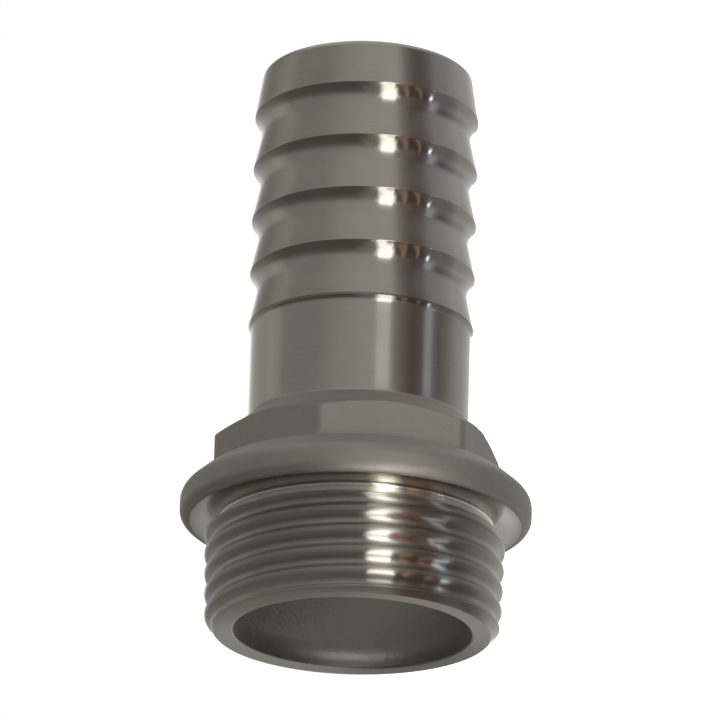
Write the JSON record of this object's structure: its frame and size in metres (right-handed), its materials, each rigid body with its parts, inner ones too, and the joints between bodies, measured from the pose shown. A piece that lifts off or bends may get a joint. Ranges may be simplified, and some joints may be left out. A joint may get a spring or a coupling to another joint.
{
  "type": "threaded hose tail adapter",
  "caption": "Hose tail adapter: barbed tube on a hexagonal collar and flange, with a taper pipe thread at the other end.",
  "frame": {"origin": "centre of the threaded end face, on the axis", "axes": "+Z along the axis towards the hose end; -Y is the front"},
  "size_m": [0.039, 0.039, 0.0658],
  "materials": {
    "stainless_steel": "satin cast collar, fine turned tail and thread"
  },
  "bodies": {
    "root": {"adapter_body": "stainless_steel"}
  },
  "joints": []
}
